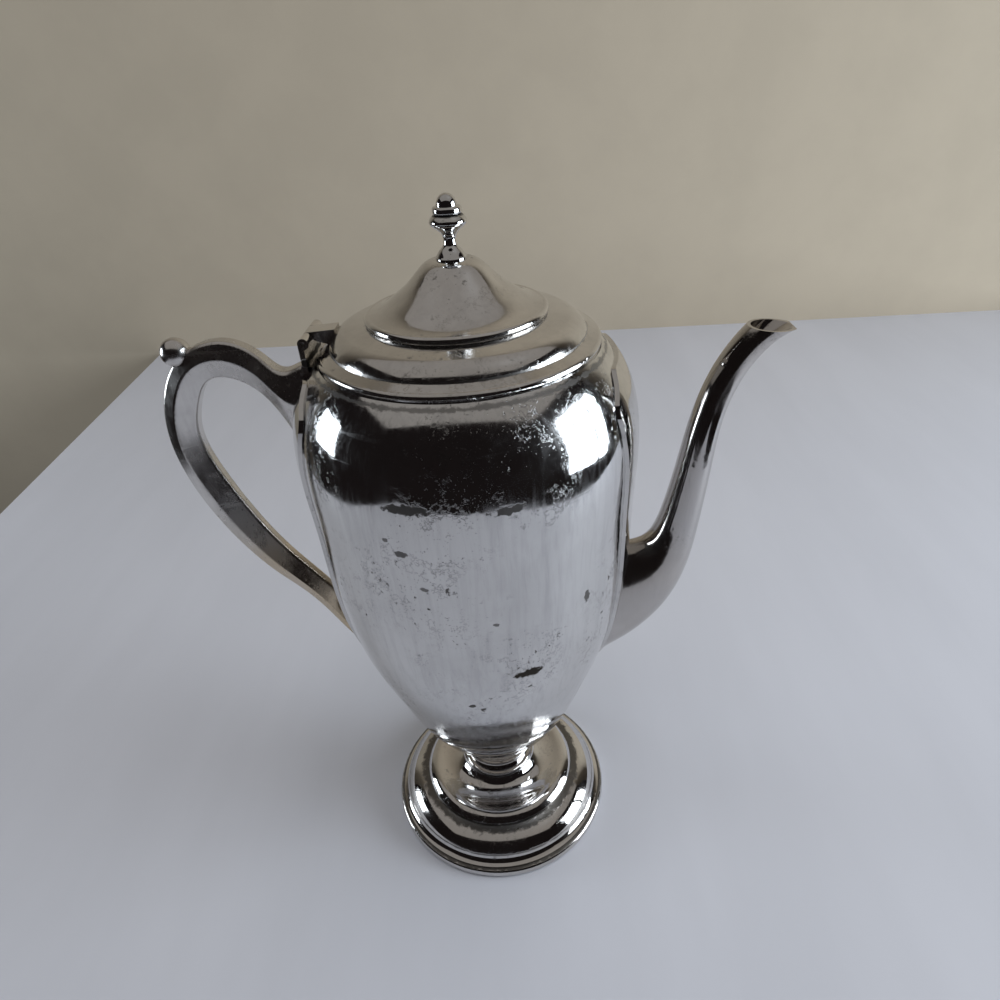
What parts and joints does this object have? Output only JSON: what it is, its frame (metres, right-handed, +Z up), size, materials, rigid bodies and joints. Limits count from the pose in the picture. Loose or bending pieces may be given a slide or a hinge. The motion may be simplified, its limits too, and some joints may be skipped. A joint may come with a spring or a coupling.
{
  "type": "antique teapot",
  "caption": "Tall silver-plated pot on a stepped round foot, with a swan-neck spout, a looped handle with a thumb ball, and a stepped lid hinged over the handle.",
  "frame": {"origin": "centre of the foot's resting face", "axes": "+Z up along the pot's axis, +X towards the spout, -X towards the handle"},
  "size_m": [0.1963, 0.1068, 0.2542],
  "materials": {
    "silver_plate": "polished silver plate on brass, worn and lightly tarnished",
    "tarnished_plate": "silver plate blackened by tarnish",
    "brass_fittings": "turned brass",
    "steel_pin": "bare steel"
  },
  "bodies": {
    "pot": {"body_shell": "silver_plate", "mouth_ring": "silver_plate", "handle_side_plate": "silver_plate", "spout_side_plate": "silver_plate", "spout": "silver_plate", "handle": "silver_plate", "thumb_ball": "silver_plate", "hinge_bracket": "tarnished_plate", "hinge_pin": "steel_pin", "neck_tube": "silver_plate", "lower_neck_ring": "silver_plate", "upper_neck_ring": "silver_plate", "body_collar": "silver_plate", "foot_dome": "silver_plate", "foot_rim": "silver_plate"},
    "lid": {"lid_shell": "silver_plate", "lid_flange": "silver_plate", "hinge_leaf": "tarnished_plate", "finial_base": "silver_plate", "finial_bulb": "silver_plate", "finial_collar": "silver_plate", "finial_tip": "silver_plate", "finial_stud": "brass_fittings", "finial_washer": "brass_fittings", "finial_nut": "brass_fittings"}
  },
  "joints": [
    {"name": "lid_hinge", "type": "hinge", "parent": "pot", "child": "lid", "pos_m": [-0.0446, 0, 0.2173], "axis": [0, -1, 0], "range_deg": [0, 100]}
  ]
}
